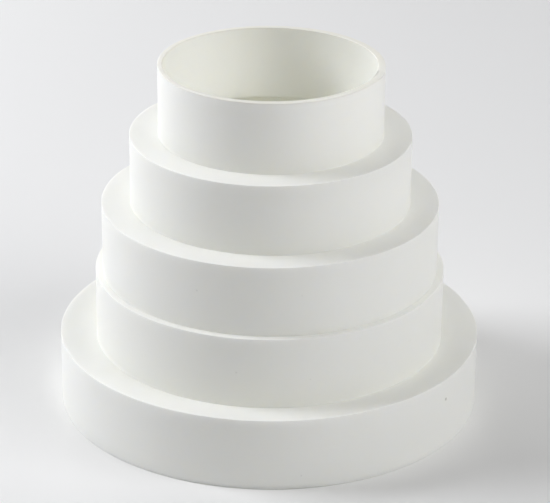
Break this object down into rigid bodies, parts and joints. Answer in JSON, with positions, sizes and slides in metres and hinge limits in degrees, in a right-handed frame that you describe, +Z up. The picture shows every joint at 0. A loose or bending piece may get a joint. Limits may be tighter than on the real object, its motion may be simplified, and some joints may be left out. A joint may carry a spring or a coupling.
{
  "type": "duct transition piece",
  "caption": "White moulded plastic stepped duct reducer: round collars that narrow upwards, joined by flat ledges, open at both ends, to join round ducts of unlike size.",
  "frame": {"origin": "on the axis, at the floor under the wide end", "axes": "+Z up along the duct axis, from the wide end to the narrow end; +X towards the right of the picture, -Y towards its viewer"},
  "size_m": [0.1497, 0.1496, 0.1261],
  "materials": {
    "white_plastic": "satin moulded, slightly warm white"
  },
  "bodies": {
    "root": {"stepped_reducer": "white_plastic"}
  },
  "joints": []
}
